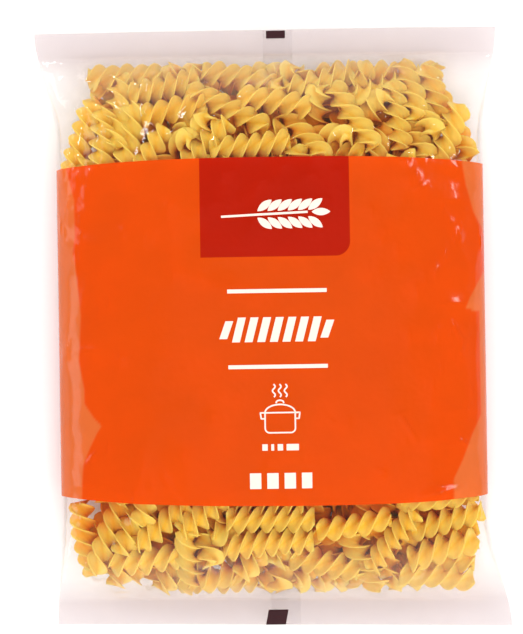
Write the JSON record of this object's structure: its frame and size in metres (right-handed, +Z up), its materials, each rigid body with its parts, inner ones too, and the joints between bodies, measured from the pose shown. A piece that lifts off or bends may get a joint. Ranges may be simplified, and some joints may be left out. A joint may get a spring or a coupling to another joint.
{
  "type": "pasta packet",
  "caption": "Filled pillow bag of dry spiral pasta: clear film with a printed band round its middle, flat seals at both ends and a seam down its back, lying flat.",
  "frame": {"origin": "on the floor, under the middle of the bag's outline", "axes": "+Y along the bag's length towards its top end, +X to the right as the printed front is read, +Z up out of the printed front"},
  "size_m": [0.1938, 0.2476, 0.0453],
  "materials": {
    "printed_film": "gloss"
  },
  "bodies": {
    "root": {"bag": "printed_film"}
  },
  "joints": []
}
